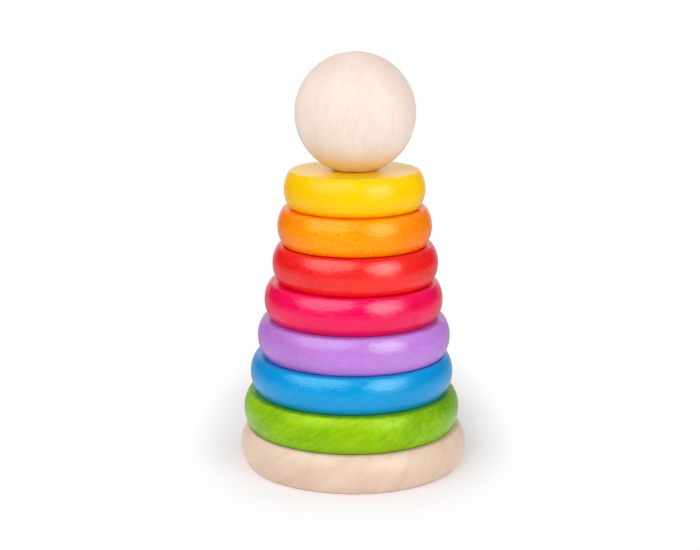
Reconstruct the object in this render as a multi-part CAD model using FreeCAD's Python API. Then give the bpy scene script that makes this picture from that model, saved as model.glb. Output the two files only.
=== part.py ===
"""Wooden stacking tower: a round base with a fixed peg, seven graded rings and a ball on top.

Every piece is a separate solid in its own STEP file, in millimetres, in one shared frame:
origin at the centre of the base's underside, +Z up along the peg, +X to the viewer's right.
"""

import FreeCAD
import Part
import math
import os

# ---- driving dimensions, mm ----
BASE_DIAMETER = 96.0
BASE_THICKNESS = 16.0
RING_THICKNESS = 15.6
BALL_DIAMETER = 50.0
PEG_DIAMETER = 12.0
RING_BORE = 14.6        # loose on the peg, so that a small child can drop a ring on
BALL_BORE = 14.0        # a closer fit, so that the ball doesn't rattle

# Each ring from the bottom up: name, outer diameter, and how far it sits off the peg's axis in X.
# The bores are wider than the peg, so every ring rests a little to one side within that play.
RINGS = (
    ("green_ring", 91.4, -0.7),
    ("blue_ring", 85.7, -0.65),
    ("purple_ring", 81.2, 0.3),
    ("pink_ring", 75.0, 0.2),
    ("red_ring", 69.4, 0.9),
    ("orange_ring", 64.5, 0.65),
    ("yellow_ring", 58.9, 0.6),
)
BALL_OFFSET = 0.85

# Turned rims: one wide arc down the side, blended into the flat faces by a small corner arc.
RING_SIDE_RADIUS = 13.4
RING_CORNER_RADIUS = 1.5
BASE_SIDE_RADIUS = 12.4
BASE_CORNER_RADIUS = 1.2
BORE_EDGE_RADIUS = 0.7

# Peg and its seat in the base.
PEG_SEAT_DEPTH = 10.0
PEG_ABOVE_RINGS = 22.0  # how far the peg reaches up into the ball
PEG_TOP_RADIUS = 4.0    # the rounded end that leads a ring on
PEG_FOOT_CHAMFER = 0.6
SEAT_MOUTH_CHAMFER = 0.5

# Ball: a flat land round the mouth of its blind socket is what it stands on.
BALL_LAND_RADIUS = 8.6
BALL_MOUTH_RADIUS = 0.5
BALL_SOCKET_DEPTH = 24.5
DRILL_POINT_ANGLE = 118.0

# Countersunk wood screw, driven up through the base into the peg's end grain.
SCREW_DIAMETER = 4.0
SCREW_HEAD_DIAMETER = 7.6
SCREW_HEAD_RIM = 0.3    # straight edge of the head
SCREW_LENGTH = 30.0
SCREW_POINT_LENGTH = 4.0
SCREW_SINK = 0.5        # how far the head sits above the underside
SCREW_CLEARANCE = 0.15  # radial, in the base only
CROSS_WIDTH = 1.1
CROSS_SPAN = 4.4
CROSS_DEPTH = 2.0
CROSS_FLOOR_SPAN = 1.6

# Heights worked out from the above.
STACK_TOP = BASE_THICKNESS + len(RINGS) * RING_THICKNESS
PEG_BOTTOM = BASE_THICKNESS - PEG_SEAT_DEPTH
PEG_TOP = STACK_TOP + PEG_ABOVE_RINGS
BALL_RADIUS = BALL_DIAMETER / 2
BALL_LAND_DROP = math.sqrt(BALL_RADIUS**2 - BALL_LAND_RADIUS**2)
BALL_CENTRE = STACK_TOP + BALL_LAND_DROP
SCREW_HEAD_DEPTH = (SCREW_HEAD_DIAMETER - SCREW_DIAMETER) / 2  # a 90 degree cone
SCREW_TIP = SCREW_SINK + SCREW_LENGTH


def point(radius, height):
    """A point of a turned profile, which is drawn in the XZ plane."""
    return FreeCAD.Vector(radius, 0, height)


def line(start, end):
    return Part.makeLine(point(*start), point(*end))


def arc(start, middle, end):
    return Part.Arc(point(*start), point(*middle), point(*end)).toShape()


def on_circle(centre, radius, degrees):
    """The point of a circle at an angle, measured from straight outwards towards +Z."""
    angle = math.radians(degrees)
    return centre[0] + radius * math.cos(angle), centre[1] + radius * math.sin(angle)


def turn(edges):
    """The solid made by spinning a closed profile once round the Z axis."""
    wire = Part.Wire(Part.__sortEdges__(edges))
    return Part.Face(wire).revolve(point(0, 0), FreeCAD.Vector(0, 0, 1), 360)


def rim(radius, thickness, side, corner):
    """The outer edge of a turned disc from its bottom face up to its top face.

    Returns the edges and the radius at which the flat faces end.
    """
    half = thickness / 2
    side_centre = (radius - side, half)
    reach = side - corner
    corner_x = side_centre[0] + math.sqrt(reach**2 - (half - corner)**2)
    blend = math.degrees(math.asin((half - corner) / reach))
    low_centre, high_centre = (corner_x, corner), (corner_x, thickness - corner)
    low = arc(
        (corner_x, 0),
        on_circle(low_centre, corner, -(90 + blend) / 2),
        on_circle(low_centre, corner, -blend),
    )
    belly = arc(
        on_circle(side_centre, side, -blend),
        on_circle(side_centre, side, 0),
        on_circle(side_centre, side, blend),
    )
    high = arc(
        on_circle(high_centre, corner, blend),
        on_circle(high_centre, corner, (90 + blend) / 2),
        (corner_x, thickness),
    )
    return [low, belly, high], corner_x


def ring(outer_diameter):
    """One ring on its own axis, standing on Z = 0."""
    edges, flat = rim(
        outer_diameter / 2, RING_THICKNESS, RING_SIDE_RADIUS, RING_CORNER_RADIUS
    )
    wall, ease, top = RING_BORE / 2, BORE_EDGE_RADIUS, RING_THICKNESS
    low_centre, high_centre = (wall + ease, ease), (wall + ease, top - ease)
    edges += [
        line((flat, top), (wall + ease, top)),
        arc((wall + ease, top), on_circle(high_centre, ease, 135), (wall, top - ease)),
        line((wall, top - ease), (wall, ease)),
        arc((wall, ease), on_circle(low_centre, ease, 225), (wall + ease, 0)),
        line((wall + ease, 0), (flat, 0)),
    ]
    return turn(edges)


def base():
    """The base disc, with the peg's blind seat above and the screw's countersunk hole below."""
    edges, flat = rim(
        BASE_DIAMETER / 2, BASE_THICKNESS, BASE_SIDE_RADIUS, BASE_CORNER_RADIUS
    )
    seat = PEG_DIAMETER / 2
    hole = SCREW_DIAMETER / 2 + SCREW_CLEARANCE
    sink = SCREW_HEAD_DIAMETER / 2 + SCREW_CLEARANCE
    rim_top = SCREW_SINK + SCREW_HEAD_RIM
    corners = [
        (flat, BASE_THICKNESS),
        (seat + SEAT_MOUTH_CHAMFER, BASE_THICKNESS),
        (seat, BASE_THICKNESS - SEAT_MOUTH_CHAMFER),
        (seat, PEG_BOTTOM),
        (hole, PEG_BOTTOM),
        (hole, rim_top + sink - hole),
        (sink, rim_top),
        (sink, 0),
        (flat, 0),
    ]
    edges += [line(a, b) for a, b in zip(corners, corners[1:])]
    return turn(edges)


def peg():
    """The dowel: square foot in the seat, rounded top, and the screw's pilot hole up its middle."""
    wall, shank = PEG_DIAMETER / 2, SCREW_DIAMETER / 2
    top_centre = (wall - PEG_TOP_RADIUS, PEG_TOP - PEG_TOP_RADIUS)
    edges = [
        line((shank, PEG_BOTTOM), (wall - PEG_FOOT_CHAMFER, PEG_BOTTOM)),
        line((wall - PEG_FOOT_CHAMFER, PEG_BOTTOM), (wall, PEG_BOTTOM + PEG_FOOT_CHAMFER)),
        line((wall, PEG_BOTTOM + PEG_FOOT_CHAMFER), (wall, top_centre[1])),
        arc(
            (wall, top_centre[1]),
            on_circle(top_centre, PEG_TOP_RADIUS, 45),
            (top_centre[0], PEG_TOP),
        ),
        line((top_centre[0], PEG_TOP), (0, PEG_TOP)),
        line((0, PEG_TOP), (0, SCREW_TIP)),
        line((0, SCREW_TIP), (shank, SCREW_TIP - SCREW_POINT_LENGTH)),
        line((shank, SCREW_TIP - SCREW_POINT_LENGTH), (shank, PEG_BOTTOM)),
    ]
    return turn(edges)


def cross_wing(turned):
    """One of the two tapered slots that make the cross recess."""
    half = CROSS_WIDTH / 2
    outline = [
        FreeCAD.Vector(-CROSS_SPAN / 2, -half, SCREW_SINK),
        FreeCAD.Vector(CROSS_SPAN / 2, -half, SCREW_SINK),
        FreeCAD.Vector(CROSS_FLOOR_SPAN / 2, -half, SCREW_SINK + CROSS_DEPTH),
        FreeCAD.Vector(-CROSS_FLOOR_SPAN / 2, -half, SCREW_SINK + CROSS_DEPTH),
    ]
    face = Part.Face(Part.makePolygon([*outline, outline[0]]))
    wing = face.extrude(FreeCAD.Vector(0, CROSS_WIDTH, 0))
    wing.rotate(point(0, 0), FreeCAD.Vector(0, 0, 1), turned)
    return wing


def peg_screw():
    """The screw with its head down; the thread is left out, so the shank has its outer diameter."""
    head, shank = SCREW_HEAD_DIAMETER / 2, SCREW_DIAMETER / 2
    rim_top = SCREW_SINK + SCREW_HEAD_RIM
    corners = [
        (0, SCREW_SINK),
        (head, SCREW_SINK),
        (head, rim_top),
        (shank, rim_top + SCREW_HEAD_DEPTH),
        (shank, SCREW_TIP - SCREW_POINT_LENGTH),
        (0, SCREW_TIP),
        (0, SCREW_SINK),
    ]
    blank = turn([line(a, b) for a, b in zip(corners, corners[1:])])
    return blank.cut(cross_wing(0)).cut(cross_wing(90)).removeSplitter()


def ball():
    """The ball about its own axis, centred on Z = 0, with its blind socket opening downwards."""
    wall, ease = BALL_BORE / 2, BALL_MOUTH_RADIUS
    floor = -BALL_LAND_DROP
    shoulder = floor + BALL_SOCKET_DEPTH
    tip = shoulder + wall / math.tan(math.radians(DRILL_POINT_ANGLE / 2))
    land_angle = -math.degrees(math.asin(BALL_LAND_DROP / BALL_RADIUS))
    centre = (0, 0)
    mouth_centre = (wall + ease, floor + ease)
    edges = [
        arc(
            (BALL_LAND_RADIUS, floor),
            on_circle(centre, BALL_RADIUS, (90 + land_angle) / 2),
            (0, BALL_RADIUS),
        ),
        line((0, BALL_RADIUS), (0, tip)),
        line((0, tip), (wall, shoulder)),
        line((wall, shoulder), (wall, floor + ease)),
        arc((wall, floor + ease), on_circle(mouth_centre, ease, 225), (wall + ease, floor)),
        line((wall + ease, floor), (BALL_LAND_RADIUS, floor)),
    ]
    return turn(edges)


def save(name, shape):
    """Writes one node and says what it measures."""
    if not shape.isValid() or len(shape.Solids) != 1:
        raise SystemExit(f"{name} is not one valid solid")
    shape.exportStep(f"parts/{name}.step")
    box = shape.optimalBoundingBox()
    print(
        f"{name}: {box.XLength:.2f} x {box.YLength:.2f} x {box.ZLength:.2f} mm, "
        f"Z {box.ZMin:.2f} to {box.ZMax:.2f}, {shape.Volume / 1000:.2f} cm3"
    )


def main():
    os.makedirs("parts", exist_ok=True)
    save("base", base())
    save("peg", peg())
    save("peg_screw", peg_screw())
    for level, (name, outer_diameter, offset) in enumerate(RINGS):
        placed = ring(outer_diameter)
        placed.translate(FreeCAD.Vector(offset, 0, BASE_THICKNESS + level * RING_THICKNESS))
        save(name, placed)
    top = ball()
    top.translate(FreeCAD.Vector(BALL_OFFSET, 0, BALL_CENTRE))
    save("top_ball", top)


main()
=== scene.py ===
import math

import bmesh
import bpy
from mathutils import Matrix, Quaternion, Vector, noise


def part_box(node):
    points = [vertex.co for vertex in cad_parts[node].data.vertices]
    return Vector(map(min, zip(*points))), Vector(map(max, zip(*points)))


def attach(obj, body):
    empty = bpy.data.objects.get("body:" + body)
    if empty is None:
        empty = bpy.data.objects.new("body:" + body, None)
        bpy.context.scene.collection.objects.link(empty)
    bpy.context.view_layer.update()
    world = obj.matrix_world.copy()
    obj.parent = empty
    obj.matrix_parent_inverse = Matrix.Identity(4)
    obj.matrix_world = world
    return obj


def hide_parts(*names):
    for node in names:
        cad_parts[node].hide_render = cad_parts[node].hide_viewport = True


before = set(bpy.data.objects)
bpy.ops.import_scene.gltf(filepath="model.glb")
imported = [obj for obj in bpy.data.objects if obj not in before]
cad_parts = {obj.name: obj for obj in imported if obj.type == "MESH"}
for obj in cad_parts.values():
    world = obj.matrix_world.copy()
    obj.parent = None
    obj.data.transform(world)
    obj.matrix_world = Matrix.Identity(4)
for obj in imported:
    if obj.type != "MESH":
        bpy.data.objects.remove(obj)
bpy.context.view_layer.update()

MM = 0.001

# ---------------------------------------------------------------------------------------------
# Sizes in millimetres. Diameters, heights and places come from the frame; these are what the
# frame doesn't say: the radii of the turned edges and the insides of the bores and the socket.
# ---------------------------------------------------------------------------------------------
RING_SIDE_RADIUS = 13.4
RING_CORNER_RADIUS = 1.5
RING_BORE = 14.6
BORE_EDGE_RADIUS = 0.7
BASE_SIDE_RADIUS = 12.4
BASE_CORNER_RADIUS = 1.2
PEG_SEAT_DEPTH = 10.0
SEAT_MOUTH_CHAMFER = 0.5
PEG_TOP_RADIUS = 4.0
PEG_FOOT_CHAMFER = 0.6
BALL_BORE = 14.0
BALL_LAND_RADIUS = 8.6
BALL_MOUTH_RADIUS = 0.5
BALL_SOCKET_DEPTH = 24.5
DRILL_POINT_ANGLE = 118.0
SCREW_DIAMETER = 4.0
SCREW_HEAD_RIM = 0.3
SCREW_POINT_LENGTH = 4.0
SCREW_CLEARANCE = 0.15
THREAD_PITCH = 1.8
THREAD_DEPTH = 0.55
THREAD_ROUNDING = 1.5     # 1 cuts a sharp V, and more rounds the bottom of the groove
CROSS_REACH = 2.4
CROSS_WIDTH = 1.0
CROSS_DEPTH = 1.9
CROSS_WALL = 0.2          # the width over which the recess's walls drop
CROSS_TAPER = 0.7         # the share of its depth that the recess loses along its arms

# How finely the turned surfaces are divided, in millimetres.
STEP = 0.75               # along the outline, on curves
FLAT_STEP = 1.6           # along the outline, on straight runs
RUN_GUARD = 0.2           # from a straight run's ends to its outermost inner points
EDGE = 1.25               # round the piece, at most
PEG_TOP_STEP = 0.5
SCREW_STEP = 0.13
SCREW_GUARD = 0.05
SCREW_EDGE = 0.2
SEGMENT_COUNTS = (8, 16, 32, 64, 128, 256)
FEWEST_ARC_STEPS = 4

SCREW_SHARP_ANGLE = 40.0  # in degrees; edges sharper than this are shaded sharp
FACE_EVENNESS = 0.85      # how much less a flat face is pressed in than a side
FACE_POWER = 6            # how quickly that fades as the surface turns to the side
SEED_SHIFT = Vector((17, 5, 11))


# ---------------------------------------------------------------------------------------------
# Outlines: lists of (radius, height) in millimetres
# ---------------------------------------------------------------------------------------------
def arc(centre, radius, start, end, step=STEP):
    """Points of an arc between two angles in degrees, where 0 is outwards and 90 is up."""
    turn = math.radians(end - start)
    count = max(FEWEST_ARC_STEPS, math.ceil(abs(turn) * radius / step))
    angles = [math.radians(start) + turn * i / count for i in range(count + 1)]
    return [(centre[0] + radius * math.cos(a), centre[1] + radius * math.sin(a)) for a in angles]


def run(start, end, step=FLAT_STEP, guard=RUN_GUARD):
    """Inner points of a straight run, with one close to each end to keep the edge crisp."""
    length = math.dist(start, end)
    inner = length - 2 * guard
    count = max(1, math.ceil(inner / step))
    shares = [(guard + inner * i / count) / length for i in range(count + 1)]
    return [tuple(a + (b - a) * t for a, b in zip(start, end)) for t in shares]


def rim(radius, thickness, side, corner):
    """A turned disc's outer edge from its bottom face to its top face, and where the faces end."""
    half = thickness / 2
    reach = side - corner
    corner_x = radius - side + math.sqrt(reach**2 - (half - corner)**2)
    blend = math.degrees(math.asin((half - corner) / reach))
    low = arc((corner_x, corner), corner, -90, -blend)
    belly = arc((radius - side, half), side, -blend, blend)
    high = arc((corner_x, thickness - corner), corner, blend, 90)
    return low[:-1] + belly + high[1:], corner_x


def ring_outline(radius, thickness):
    edge, flat = rim(radius, thickness, RING_SIDE_RADIUS, RING_CORNER_RADIUS)
    wall, ease = RING_BORE / 2, BORE_EDGE_RADIUS
    return (
        edge
        + run((flat, thickness), (wall + ease, thickness))
        + arc((wall + ease, thickness - ease), ease, 90, 180)
        + run((wall, thickness - ease), (wall, ease))
        + arc((wall + ease, ease), ease, 180, 270)
        + run((wall + ease, 0), (flat, 0))
    )


def base_outline(radius, thickness, peg_radius, head_radius, screw_sink):
    edge, flat = rim(radius, thickness, BASE_SIDE_RADIUS, BASE_CORNER_RADIUS)
    floor = thickness - PEG_SEAT_DEPTH
    hole = SCREW_DIAMETER / 2 + SCREW_CLEARANCE
    sink = head_radius + SCREW_CLEARANCE
    rim_top = screw_sink + SCREW_HEAD_RIM
    mouth = (peg_radius + SEAT_MOUTH_CHAMFER, thickness)
    seat_top = (peg_radius, thickness - SEAT_MOUTH_CHAMFER)
    seat_foot = (peg_radius, floor)
    hole_top = (hole, floor)
    cone_top = (hole, rim_top + sink - hole)
    cone_foot = (sink, rim_top)
    underside = (sink, 0)
    return (
        edge
        + run((flat, thickness), mouth)
        + [mouth, seat_top]
        + run(seat_top, seat_foot)
        + [seat_foot]
        + run(seat_foot, hole_top)
        + [hole_top]
        + run(hole_top, cone_top)
        + [cone_top, cone_foot, underside]
        + run(underside, (flat, 0))
    )


def peg_outline(radius, height, screw_tip):
    """From the top's middle down the outside, and up the hole that the screw fills."""
    shank = SCREW_DIAMETER / 2
    shoulder = height - PEG_TOP_RADIUS
    inner = radius - PEG_TOP_RADIUS
    foot_edge = (radius, PEG_FOOT_CHAMFER)
    foot_face = (radius - PEG_FOOT_CHAMFER, 0)
    hole_foot = (shank, 0)
    hole_top = (shank, screw_tip - SCREW_POINT_LENGTH)
    return (
        [(0, height)]
        + run((0, height), (inner, height))
        + arc((inner, shoulder), PEG_TOP_RADIUS, 90, 0, PEG_TOP_STEP)
        + run((radius, shoulder), foot_edge)
        + [foot_edge, foot_face]
        + run(foot_face, hole_foot)
        + [hole_foot]
        + run(hole_foot, hole_top)
        + [hole_top]
        + run(hole_top, (0, screw_tip))
        + [(0, screw_tip)]
    )


def ball_drop(radius):
    """How far the flat land that the ball rests on lies below its centre."""
    return math.sqrt(radius**2 - BALL_LAND_RADIUS**2)


def ball_outline(radius):
    """About the ball's centre, from its crown down the outside and up into the blind socket."""
    drop = ball_drop(radius)
    wall, ease = BALL_BORE / 2, BALL_MOUTH_RADIUS
    shoulder = BALL_SOCKET_DEPTH - drop
    tip = shoulder + wall / math.tan(math.radians(DRILL_POINT_ANGLE / 2))
    land = -math.degrees(math.asin(drop / radius))
    return (
        [(0, radius)]
        + arc((0, 0), radius, 90, land)[1:]
        + arc((wall + ease, ease - drop), ease, 270, 180)
        + run((wall, ease - drop), (wall, shoulder))
        + [(wall, shoulder)]
        + run((wall, shoulder), (0, tip))
        + [(0, tip)]
    )


def screw_neck(head_radius):
    """The height over the head's face at which the screw's shank begins."""
    return SCREW_HEAD_RIM + head_radius - SCREW_DIAMETER / 2


def screw_outline(head_radius, length):
    """From the middle of the head, which faces down, up to the point."""
    def fine(start, end):
        return run(start, end, SCREW_STEP, SCREW_GUARD)

    shank = SCREW_DIAMETER / 2
    face_edge = (head_radius, 0)
    rim_top = (head_radius, SCREW_HEAD_RIM)
    neck = (shank, screw_neck(head_radius))
    shank_top = (shank, length - SCREW_POINT_LENGTH)
    return (
        [(0, 0)]
        + fine((0, 0), face_edge)
        + [face_edge, rim_top]
        + fine(rim_top, neck)
        + fine(neck, shank_top)
        + [shank_top]
        + fine(shank_top, (0, length))
        + [(0, length)]
    )


# ---------------------------------------------------------------------------------------------
# Turned meshes
# ---------------------------------------------------------------------------------------------
def segment_counts(outline, edge):
    """How many segments each row has: fewer near the axis, and at most halved from row to row."""
    counts = []
    for radius, _ in outline:
        wanted = 2 * math.pi * radius / edge
        enough = min((n for n in SEGMENT_COUNTS if n >= wanted), default=SEGMENT_COUNTS[-1])
        counts.append(enough if radius else 1)
    settled = False
    while not settled:
        settled = True
        for i, count in enumerate(counts):
            least = max(counts[i - 1], counts[(i + 1) % len(counts)]) // 2
            if 1 < count < least:
                counts[i] = least
                settled = False
    return counts


def stitch(mesh, first, second):
    """Joins two neighbouring rows of vertices, where one may have half the other's segments."""
    few, many = sorted((first, second), key=len)
    for i in range(len(few)):
        here, after = few[i], few[(i + 1) % len(few)]
        if len(few) == len(many):
            mesh.faces.new((here, after, many[(i + 1) % len(many)], many[i]))
            continue
        a, b, c = (many[(2 * i + k) % len(many)] for k in range(3))
        for corners in ((here, b, a), (here, after, b), (after, c, b)):
            mesh.faces.new(corners)


def fan(mesh, centre, row):
    for i, corner in enumerate(row):
        mesh.faces.new((centre, corner, row[(i + 1) % len(row)]))


def add_to_scene(data):
    """An object that shows a mesh, a lamp or a camera."""
    made = bpy.data.objects.new(data.name, data)
    bpy.context.scene.collection.objects.link(made)
    return made


def add_mesh(name, mesh):
    """An object made from a finished bmesh, which is freed."""
    data = bpy.data.meshes.new(name)
    mesh.to_mesh(data)
    mesh.free()
    return add_to_scene(data)


def turned(name, outline, axis, edge=EDGE):
    """An object made by spinning an outline about an upright axis through a point.

    An outline that keeps clear of the axis is joined from its end to its start.
    """
    mesh = bmesh.new()
    rows = []
    for (radius, height), count in zip(outline, segment_counts(outline, edge)):
        angles = [2 * math.pi * i / count for i in range(count)]
        rows.append([
            mesh.verts.new((radius * math.cos(a) * MM, radius * math.sin(a) * MM, height * MM))
            for a in angles
        ])
    closed = outline[0][0] > 0
    following = rows[1:] + rows[:1] if closed else rows[1:]
    for first, second in zip(rows, following):
        if len(first) == 1 or len(second) == 1:
            centre, row = sorted((first, second), key=len)
            fan(mesh, centre[0], row)
        else:
            stitch(mesh, first, second)
    bmesh.ops.recalc_face_normals(mesh, faces=mesh.faces)
    bmesh.ops.translate(mesh, vec=axis, verts=mesh.verts)
    piece = add_mesh(name, mesh)
    piece.data.shade_smooth()
    return piece


def hand_finish(piece, depth, size, seed):
    """Presses the surface in by up to depth, as turning and sanding leave it.

    size is about how wide each dip is. Both are in millimetres, and seed makes pieces differ.
    """
    vertices = piece.data.vertices
    normals = [vertex.normal.copy() for vertex in vertices]
    places = []
    for vertex, normal in zip(vertices, normals):
        wave = noise.noise(vertex.co / (size * MM) + SEED_SHIFT * seed)
        share = 1 - FACE_EVENNESS * abs(normal.z)**FACE_POWER
        places.extend(vertex.co - normal * (depth * MM * share * (0.5 + 0.5 * wave)))
    vertices.foreach_set("co", places)
    piece.data.update()


def clamp(value):
    return min(1, max(0, value))


def cut_screw(screw, foot, neck):
    """Cuts the thread into a turned screw's shank and the cross into its head."""
    shank = SCREW_DIAMETER / 2
    for vertex in screw.data.vertices:
        x, y, height = (vertex.co - foot) / MM
        radius = math.hypot(x, y)
        if height > neck and radius > 0:
            phase = (height / THREAD_PITCH - math.atan2(y, x) / math.tau) % 1
            groove = THREAD_DEPTH * (1 - abs(2 * phase - 1)**THREAD_ROUNDING)
            slim = 1 - groove * clamp((height - neck) / THREAD_PITCH) / shank
            vertex.co.x = foot.x + x * slim * MM
            vertex.co.y = foot.y + y * slim * MM
        elif height < SCREW_HEAD_RIM / 2:
            inside = (CROSS_WIDTH + CROSS_WALL) / 2 - min(abs(x), abs(y))
            arm = clamp(inside / CROSS_WALL)
            end = clamp((CROSS_REACH - radius) / CROSS_WALL)
            slope = 1 - CROSS_TAPER * radius / CROSS_REACH
            vertex.co.z += CROSS_DEPTH * MM * arm * end * slope
    screw.data.set_sharp_from_angle(angle=math.radians(SCREW_SHARP_ANGLE))


# ---------------------------------------------------------------------------------------------
# Material graphs
# ---------------------------------------------------------------------------------------------
class Graph:
    """The nodes of a material or a world, with short calls that add a node and feed its inputs."""

    def __init__(self, owner):
        self.owner = owner
        owner.use_nodes = True
        self.tree = owner.node_tree
        self.tree.nodes.clear()

    def node(self, kind, inputs, output=0, **settings):
        """Adds a node, feeds its inputs numbers or other outputs, and returns one output."""
        made = self.tree.nodes.new("ShaderNode" + kind)
        for setting, value in settings.items():
            setattr(made, setting, value)
        for socket, value in inputs.items():
            if isinstance(value, bpy.types.NodeSocket):
                self.tree.links.new(value, made.inputs[socket])
            else:
                made.inputs[socket].default_value = value
        return made.outputs[output] if made.outputs else None

    def math(self, operation, *values):
        return self.node("Math", dict(enumerate(values)), operation=operation)

    def vector(self, operation, *values):
        output = "Value" if operation in ("DOT_PRODUCT", "LENGTH") else "Vector"
        return self.node("VectorMath", dict(enumerate(values)), output, operation=operation)

    def axis(self, place, letter):
        return self.node("SeparateXYZ", {0: place}, output=letter)

    def place(self, kind="Object"):
        """A texture coordinate: in metres in the object, or another kind."""
        return self.node("TexCoord", {}, output=kind)

    def step(self, value, low, high, from_value=0.0, to_value=1.0):
        """A smooth step of value between two limits."""
        inputs = {
            "Value": value,
            "From Min": low,
            "From Max": high,
            "To Min": from_value,
            "To Max": to_value,
        }
        return self.node("MapRange", inputs, interpolation_type="SMOOTHSTEP")

    def mix(self, share, a, b):
        return self.node("Mix", {0: share, 6: a, 7: b}, output=2, data_type="RGBA")

    def noise(self, place, scales, detail):
        scaled = self.vector("MULTIPLY", place, scales)
        return self.node("TexNoise", {"Vector": scaled, "Scale": 1.0, "Detail": detail})

    def bump(self, height, strength, distance, **inputs):
        inputs.update(Height=height, Strength=strength, Distance=distance)
        return self.node("Bump", inputs)

    def finish(self, shader):
        """Joins a shader to the material's surface."""
        self.node("OutputMaterial", {"Surface": shader})
        return self.owner


def linear(red, green, blue):
    """A colour given as it looks on a screen, from 0 to 255, as the shader needs it."""
    shares = [c / 255 for c in (red, green, blue)]
    return (*[c / 12.92 if c <= 0.04045 else ((c + 0.055) / 1.055)**2.4 for c in shares], 1.0)


# How finely the parts of the wood's figure vary, per millimetre: along the fibres, then across.
WARP_SCALES = (0.02, 0.06, 0.06)
CLOUD_SCALES = (0.025, 0.08, 0.08)
MOTTLE_SCALES = (0.14, 0.6, 0.6)
FIBRE_SCALES = (0.16, 1.5, 1.5)
FLECK_SCALES = (0.42, 1.35, 1.35)
FILM_SCALES = (0.6, 1.5, 1.5)

# Where smooth steps start and end.
CLOUD_STEP = (0.32, 0.68)
FIBRE_STEP = (0.3, 0.7)
LATE_WOOD = (0.55, 0.93)      # within one growth layer, which darkens slowly
LAYER_END = (0.94, 1.0)       # and then ends at once
FLECK_EDGE = (0.16, 0.36)     # from a cell's middle
FLECK_CHANCE = (0.72, 0.78)   # about one cell in four holds a fleck
END_GRAIN_STEP = (0.3, 1.0)   # how far the surface faces along the fibres
# Where the painted shade on the flat faces and the shoulders next to them starts and ends:
FLAT_FACE_SHADE_STEP = (0.6, 0.95)   # how far it faces up or down

LAYER_WIDTH = 3.2             # in millimetres
LAYER_WARP = 14.0             # how far the growth layers wander, in millimetres
FIBRE_RELIEF = 0.25           # how high the fibres stand, next to how deep the flecks lie
FLECK_ROUGHNESS = 0.1         # how much rougher the lacquer is over a fleck
MOTTLE_ROUGHNESS = 0.06

STEEL_SCALES = (900.0, 900.0, 900.0)      # how finely its tone varies, per metre
SCRATCH_SCALES = (400.0, 5000.0, 900.0)
SCRATCH_STEP = (0.3, 0.7)
SCRATCH_STRENGTH = 0.3
SCRATCH_DEPTH = 0.01                      # in millimetres
STEEL_ROUGHNESS = (0.24, 0.4)             # between scratches and in them


def wood_block(graph, turn, pith):
    """The place in the block of wood a piece was cut from, in millimetres, fibres along X."""
    inputs = {
        "Vector": graph.place(),
        "Location": pith,
        "Rotation": [math.radians(a) for a in turn],
        "Scale": (1 / MM, 1 / MM, 1 / MM),
    }
    return graph.node("Mapping", inputs)


def wood_figure(graph, block, layer_width):
    """The block's figure, part by part, each from 0 to 1."""
    radius = graph.vector("LENGTH", graph.vector("MULTIPLY", block, (0.0, 1.0, 1.0)))
    warp = graph.noise(block, WARP_SCALES, 3.0)
    warped = graph.math("MULTIPLY_ADD", warp, LAYER_WARP, radius)
    layer = graph.math("FRACT", graph.math("DIVIDE", warped, layer_width))
    rise = graph.step(layer, *LATE_WOOD)
    fall = graph.step(layer, *LAYER_END, 1.0, 0.0)
    cells = {"Vector": graph.vector("MULTIPLY", block, FLECK_SCALES), "Scale": 1.0}
    near = graph.step(graph.node("TexVoronoi", cells, output="Distance"), *FLECK_EDGE, 1.0, 0.0)
    chance = graph.node("SeparateColor", {0: graph.node("TexVoronoi", cells, output="Color")})
    return {
        "layers": graph.math("MULTIPLY", rise, fall),
        "clouds": graph.step(graph.noise(block, CLOUD_SCALES, 2.0), *CLOUD_STEP),
        "mottle": graph.step(graph.noise(block, MOTTLE_SCALES, 3.0), *CLOUD_STEP),
        "fibres": graph.step(graph.noise(block, FIBRE_SCALES, 3.0), *FIBRE_STEP),
        "flecks": graph.math("MULTIPLY", near, graph.step(chance, *FLECK_CHANCE)),
    }


def end_grain(graph, turn):
    """From 0 on faces along the fibres to 1 on faces that cut across them."""
    inputs = {"Vector": graph.place("Normal"), "Rotation": [math.radians(a) for a in turn]}
    along = graph.axis(graph.node("Mapping", inputs), "X")
    return graph.step(graph.math("ABSOLUTE", along), *END_GRAIN_STEP)


def flat_face_shade(graph):
    """Painted shade, from 0 on the turned side to 1 on the flat faces where the rings touch."""
    upright = graph.axis(graph.place("Normal"), "Z")
    return graph.step(graph.math("ABSOLUTE", upright), *FLAT_FACE_SHADE_STEP)


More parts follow.
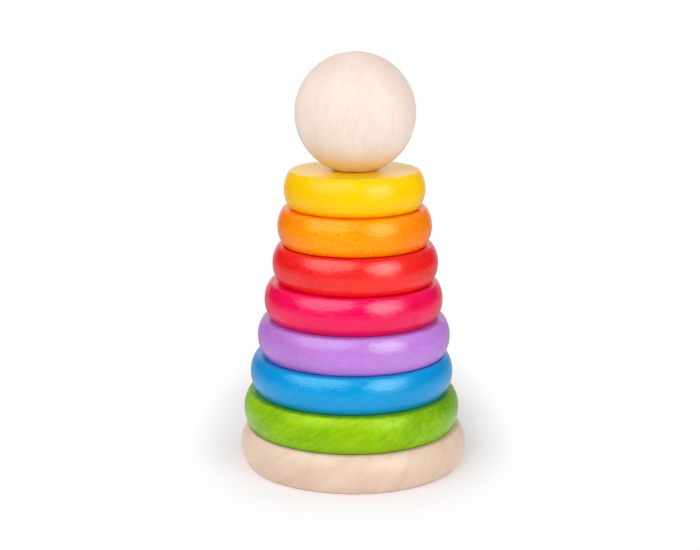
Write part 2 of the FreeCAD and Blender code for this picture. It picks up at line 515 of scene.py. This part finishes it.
def wood(
    name, light, deep, turn, pith, shares, roughness, relief, skin,
    gloss=0.5, tint=(1.0, 1.0, 1.0), layer_width=LAYER_WIDTH,
):
    """Turned and finished wood.

    light and deep are its palest and deepest colours, and shares say how far each part of the
    figure takes it from one to the other. turn and pith say how the piece lay in its block:
    angles in degrees, and millimetres from the tree's middle. relief is how deep the flecks and
    fibres lie and skin is how uneven the lacquer over them is, in millimetres. gloss is how much
    the lacquer reflects and tint is the colour of what it reflects.
    """
    graph = Graph(bpy.data.materials.new(name))
    block = wood_block(graph, turn, pith)
    figure = wood_figure(graph, block, layer_width)
    figure["ends"] = end_grain(graph, turn)
    # Painted shade that darkens the flat faces and the shoulders beside them, where the rings
    # touch.
    figure["flat_face_shade"] = flat_face_shade(graph)
    depth = 0.0
    for part, share in shares.items():
        depth = graph.math("MULTIPLY_ADD", figure[part], share, depth)
    raised = graph.math("MULTIPLY", figure["fibres"], FIBRE_RELIEF)
    ground = graph.math("MULTIPLY_ADD", figure["flecks"], -1.0, raised)
    grain = graph.bump(ground, 1.0, relief * MM)
    film = graph.noise(block, FILM_SCALES, 3.0)
    rough = graph.math("MULTIPLY_ADD", figure["flecks"], FLECK_ROUGHNESS, roughness)
    return graph.finish(graph.node("BsdfPrincipled", {
        "Base Color": graph.mix(graph.math("MINIMUM", depth, 1.0), light, deep),
        "Roughness": graph.math("MULTIPLY_ADD", figure["mottle"], MOTTLE_ROUGHNESS, rough),
        "Specular IOR Level": gloss,
        "Specular Tint": (*tint, 1.0),
        "Normal": graph.bump(film, 1.0, skin * MM, Normal=grain),
    }))


def plated_steel(name):
    graph = Graph(bpy.data.materials.new(name))
    place = graph.place()
    tone = graph.noise(place, STEEL_SCALES, 3.0)
    scratches = graph.noise(place, SCRATCH_SCALES, 2.0)
    return graph.finish(graph.node("BsdfPrincipled", {
        "Base Color": graph.mix(tone, linear(196, 190, 166), linear(226, 221, 204)),
        "Metallic": 1.0,
        "Roughness": graph.step(scratches, *SCRATCH_STEP, *STEEL_ROUGHNESS),
        "Normal": graph.bump(scratches, SCRATCH_STRENGTH, SCRATCH_DEPTH * MM),
    }))


# ---------------------------------------------------------------------------------------------
# Pieces
# ---------------------------------------------------------------------------------------------
def sizes(node):
    """A node's radius and height in millimetres, and its axis's lowest point in metres."""
    low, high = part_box(node)
    foot = Vector(((low.x + high.x) / 2, 0, low.z))
    return (high.x - low.x) / 2 / MM, (high.z - low.z) / MM, foot


def install(piece, node, body, material):
    """Puts a finished piece in its CAD node's place."""
    piece.data.materials.append(material)
    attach(piece, body)
    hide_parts(node)


# Each ring's share on its flat faces is painted shade, darker where it touches its neighbours.
STAINS = {
    "green": wood(
        "green_stain", light=linear(153, 202, 0), deep=linear(84, 148, 0),
        turn=(0, 35, 10), pith=(0, 40, 30),
        shares={
            "layers": 0.1, "clouds": 0.25, "mottle": 0.25, "fibres": 0.2,
            "ends": 0.35, "flecks": 0.1, "flat_face_shade": 0.5,
        },
        roughness=0.28, relief=0.002, skin=0.1, tint=(1.0, 1.0, 0.2),
    ),
    "blue": wood(
        "blue_stain", light=linear(0, 157, 222), deep=linear(0, 128, 196),
        turn=(0, 0, 8), pith=(5, 62, -20),
        shares={
            "layers": 0.05, "clouds": 0.2, "mottle": 0.2, "fibres": 0.1,
            "ends": 0.4, "flecks": 0.1, "flat_face_shade": 0.7,
        },
        roughness=0.11, relief=0.045, skin=0.16, tint=(0.6, 1.0, 0.85),
    ),
    "purple": wood(
        "purple_stain", light=linear(195, 132, 221), deep=linear(170, 100, 198),
        turn=(0, 0, -14), pith=(9, 71, 12),
        shares={
            "layers": 0.05, "clouds": 0.2, "mottle": 0.2, "fibres": 0.1,
            "ends": 0.3, "flecks": 0.1, "flat_face_shade": 0.6,
        },
        roughness=0.13, relief=0.03, skin=0.14, tint=(0.75, 1.0, 0.7),
    ),
    "pink": wood(
        "pink_stain", light=linear(248, 0, 95), deep=linear(226, 0, 68),
        turn=(0, 0, 11), pith=(1, 55, 33),
        shares={
            "layers": 0.1, "clouds": 0.2, "mottle": 0.3, "fibres": 0.15,
            "ends": 0.35, "flecks": 0.7, "flat_face_shade": 0.5,
        },
        roughness=0.13, relief=0.04, skin=0.14, gloss=0.42,
    ),
    "red": wood(
        "red_stain", light=linear(254, 38, 34), deep=linear(220, 0, 16),
        turn=(0, 4, -9), pith=(7, 48, -35),
        shares={
            "layers": 0.1, "clouds": 0.2, "mottle": 0.3, "fibres": 0.15,
            "ends": 0.35, "flecks": 0.6, "flat_face_shade": 0.6,
        },
        roughness=0.15, relief=0.04, skin=0.14, tint=(1.0, 1.0, 0.9),
    ),
    "orange": wood(
        "orange_stain", light=linear(255, 168, 0), deep=linear(246, 100, 0),
        turn=(0, -3, 6), pith=(3, 66, 18),
        shares={
            "layers": 0.1, "clouds": 0.1, "mottle": 0.15, "fibres": 0.15,
            "ends": 0.5, "flecks": 0.8, "flat_face_shade": 0.6,
        },
        roughness=0.15, relief=0.04, skin=0.14, gloss=0.38, tint=(1.0, 0.8, 0.4),
    ),
    "yellow": wood(
        "yellow_stain", light=linear(251, 209, 0), deep=linear(246, 188, 0),
        turn=(0, 0, -20), pith=(0, 51, -14),
        shares={
            "layers": 0.05, "clouds": 0.2, "mottle": 0.2, "fibres": 0.1,
            "ends": 0.5, "flecks": 0.2,
        },
        roughness=0.11, relief=0.045, skin=0.15, gloss=0.18, tint=(1.0, 0.35, 1.0),
    ),
}
BALL_WOOD = wood(
    "ball_wood", light=linear(242, 226, 215), deep=linear(229, 204, 188),
    turn=(0, 84, 0), pith=(0, 46, 64),
    shares={
        "layers": 0.14, "clouds": 0.4, "mottle": 0.15, "fibres": 0.12,
        "ends": 0.2, "flecks": 0.2,
    },
    roughness=0.5, relief=0.002, skin=0.01, gloss=0.2,
)
BASE_WOOD = wood(
    "base_wood", light=linear(225, 201, 181), deep=linear(200, 166, 140),
    turn=(20, 28, 52), pith=(0, 58, -31),
    shares={
        "layers": 0.13, "clouds": 0.3, "mottle": 0.1, "fibres": 0.1,
        "ends": 0.1, "flecks": 0.05,
    },
    roughness=0.42, relief=0.002, skin=0.01, gloss=0.4, layer_width=8.0,
)
PEG_WOOD = wood(
    "peg_wood", light=linear(232, 208, 176), deep=linear(206, 174, 138),
    turn=(0, 90, 0), pith=(0, 38, 12),
    shares={
        "layers": 0.3, "clouds": 0.2, "mottle": 0.2, "fibres": 0.4,
        "ends": 0.4, "flecks": 0.4,
    },
    roughness=0.48, relief=0.01, skin=0.01,
)
SCREW_STEEL = plated_steel("plated_steel")


def make_rings():
    for seed, colour in enumerate(STAINS):
        node = f"{colour}_ring"
        radius, thickness, foot = sizes(node)
        ring = turned(f"{node}_wood", ring_outline(radius, thickness), foot)
        hand_finish(ring, depth=0.06, size=9.0, seed=seed)
        install(ring, node, colour, STAINS[colour])


def make_stand():
    radius, thickness, foot = sizes("base")
    peg_radius, peg_height, peg_foot = sizes("peg")
    head_radius, screw_length, screw_foot = sizes("peg_screw")
    sink = screw_foot.z / MM

    outline = base_outline(radius, thickness, peg_radius, head_radius, sink)
    base = turned("base_wood_disc", outline, foot)
    hand_finish(base, depth=0.06, size=11.0, seed=21)
    install(base, "base", "stand", BASE_WOOD)

    screw_tip = sink + screw_length - peg_foot.z / MM
    peg = turned("peg_dowel", peg_outline(peg_radius, peg_height, screw_tip), peg_foot)
    hand_finish(peg, depth=0.04, size=7.0, seed=31)
    install(peg, "peg", "stand", PEG_WOOD)

    outline = screw_outline(head_radius, screw_length)
    screw = turned("peg_wood_screw", outline, screw_foot, SCREW_EDGE)
    cut_screw(screw, screw_foot, screw_neck(head_radius))
    install(screw, "peg_screw", "stand", SCREW_STEEL)


def make_ball():
    radius, _, foot = sizes("top_ball")
    centre = foot + Vector((0, 0, ball_drop(radius) * MM))
    ball = turned("top_ball_wood", ball_outline(radius), centre)
    hand_finish(ball, depth=0.05, size=13.0, seed=41)
    install(ball, "top_ball", "ball", BALL_WOOD)


# ---------------------------------------------------------------------------------------------
# Camera, floor and light
# ---------------------------------------------------------------------------------------------
CAMERA_TARGET = Vector((-0.0013, 0, 0.0804))
CAMERA_DISTANCE = 0.6586
CAMERA_ELEVATION = 12.9
LENS = 80.7
SENSOR = 36.0

WHITE = (1.0, 1.0, 1.0, 1.0)
FLOOR_RADIUS = 0.66
FLOOR_SEGMENTS = 96
FLOOR_COLOUR = (0.89, 0.865, 0.885, 1.0)
FLOOR_ROUGHNESS = 0.7

# The lit floor gives way to the white of the sweep round an oval.
FLOOR_FADE = (0.0445, 0.0765)  # how far to the side that starts and ends, in metres
FADE_MIDDLE = 0.025            # how far the oval's middle lies behind the object's
FADE_BEHIND = 0.37             # how much a distance behind counts, next to one to the side
FADE_IN_FRONT = 0.65

# How bright the white is for the object, where 1 is the white of the picture.
FLOOR_IN_FRONT = 0.95
FLOOR_BEHIND = 0.45
FLOOR_CHANGE = (0.0, 0.15)     # where one gives way to the other, in metres behind the object
ROOM = 0.03
SWEEP = 1.0
SWEEP_STEP = (0.8, 1.0)        # how far a direction points backwards
CEILING = 0.5
CEILING_STEP = (0.5, 1.0)      # how far a direction points to the ceiling's middle
CEILING_MIDDLE = (0.0, 0.5, 0.866)

GLOW_GAP = 0.02                # from a soft box's light forward to its reflected glow, in metres


def direction(azimuth, elevation):
    """Away from the object; azimuth 0 is towards the camera, and it grows to the viewer's right."""
    a, e = math.radians(azimuth), math.radians(elevation)
    return Vector((math.sin(a) * math.cos(e), -math.cos(a) * math.cos(e), math.sin(e)))


def make_camera():
    data = bpy.data.cameras.new("camera")
    data.lens = LENS
    data.sensor_width = SENSOR
    data.clip_start = 0.01
    camera = add_to_scene(data)
    away = direction(0, CAMERA_ELEVATION)
    camera.location = CAMERA_TARGET + away * CAMERA_DISTANCE
    camera.rotation_euler = away.to_track_quat("Z", "Y").to_euler()
    bpy.context.scene.camera = camera


def make_floor():
    """A matt floor that the camera sees fade to white round the object."""
    mesh = bmesh.new()
    bmesh.ops.create_circle(mesh, cap_ends=True, segments=FLOOR_SEGMENTS, radius=FLOOR_RADIUS)
    floor = add_mesh("floor", mesh)
    graph = Graph(bpy.data.materials.new("floor_white"))
    place = graph.place()
    side, back = graph.axis(place, "X"), graph.axis(place, "Y")
    depth = graph.math("SUBTRACT", back, FADE_MIDDLE)
    behind = graph.math("MULTIPLY", depth, FADE_BEHIND)
    in_front = graph.math("MULTIPLY", depth, -FADE_IN_FRONT)
    around = graph.node("CombineXYZ", {0: side, 1: graph.math("MAXIMUM", behind, in_front)})
    share = graph.step(graph.vector("LENGTH", around), *FLOOR_FADE)
    matt = graph.node("BsdfPrincipled", {"Base Color": FLOOR_COLOUR, "Roughness": FLOOR_ROUGHNESS})
    seen = graph.node("LightPath", {}, output="Is Camera Ray")
    for_object = graph.step(back, *FLOOR_CHANGE, FLOOR_IN_FRONT, FLOOR_BEHIND)
    strength = graph.math("MAXIMUM", seen, for_object)
    glow = graph.node("Emission", {"Color": WHITE, "Strength": strength})
    floor.data.materials.append(graph.finish(graph.node("MixShader", {0: share, 1: matt, 2: glow})))


def soft_box(name, azimuth, elevation, distance, width, height, lit, seen=0.0, tilt=0.0):
    """An elliptical soft box that faces the object.

    lit is how bright it is for matt surfaces and seen how bright it looks in reflections, where 1
    is the white of the picture.
    """
    away = direction(azimuth, elevation)
    facing = away.to_track_quat("Z", "Y") @ Quaternion((0, 0, 1), math.radians(tilt))
    area = math.pi / 4 * width * height
    for part, radiance, gap in (("light", lit, 0.0), ("glow", seen, GLOW_GAP)):
        if not radiance:
            continue
        data = bpy.data.lights.new(f"{name}_{part}", "AREA")
        data.shape = "ELLIPSE"
        data.size = width
        data.size_y = height
        data.energy = radiance * math.pi * area
        lamp = add_to_scene(data)
        lamp.location = CAMERA_TARGET + away * (distance - gap)
        lamp.rotation_euler = facing.to_euler()
        lamp.visible_camera = False
        lamp.visible_diffuse = part == "light"
        lamp.visible_glossy = part == "glow"


def make_lights():
    soft_box(
        "left_soft_box", azimuth=-41, elevation=35, distance=0.9,
        width=1.24, height=0.78, lit=2.46, seen=3.5, tilt=12,
    )
    soft_box(
        "right_soft_box", azimuth=41, elevation=20.5, distance=0.9,
        width=0.71, height=0.63, lit=3.8, seen=6.3,
    )
    soft_box("top_fill", azimuth=0, elevation=44, distance=1.1, width=0.8, height=0.8, lit=0.65)
    for name, azimuth in (("left_fill", -108), ("right_fill", 108)):
        soft_box(name, azimuth, elevation=28, distance=1.2, width=1.2, height=1.2, lit=1.4)


def make_surroundings():
    """A white sweep behind, a pale ceiling and a dim room; the camera sees only white."""
    world = bpy.data.worlds.new("studio")
    bpy.context.scene.world = world
    graph = Graph(world)
    place = graph.place("Generated")
    back = graph.step(graph.axis(place, "Y"), *SWEEP_STEP, ROOM, SWEEP)
    up = graph.vector("DOT_PRODUCT", place, CEILING_MIDDLE)
    ceiling = graph.step(up, *CEILING_STEP, ROOM, CEILING)
    seen = graph.node("LightPath", {}, output="Is Camera Ray")
    strength = graph.math("MAXIMUM", graph.math("MAXIMUM", back, ceiling), seen)
    glow = graph.node("Background", {"Color": WHITE, "Strength": strength})
    graph.node("OutputWorld", {"Surface": glow})


bpy.context.scene.view_settings.view_transform = "Standard"
make_camera()
make_surroundings()
make_floor()
make_lights()
make_stand()
make_rings()
make_ball()
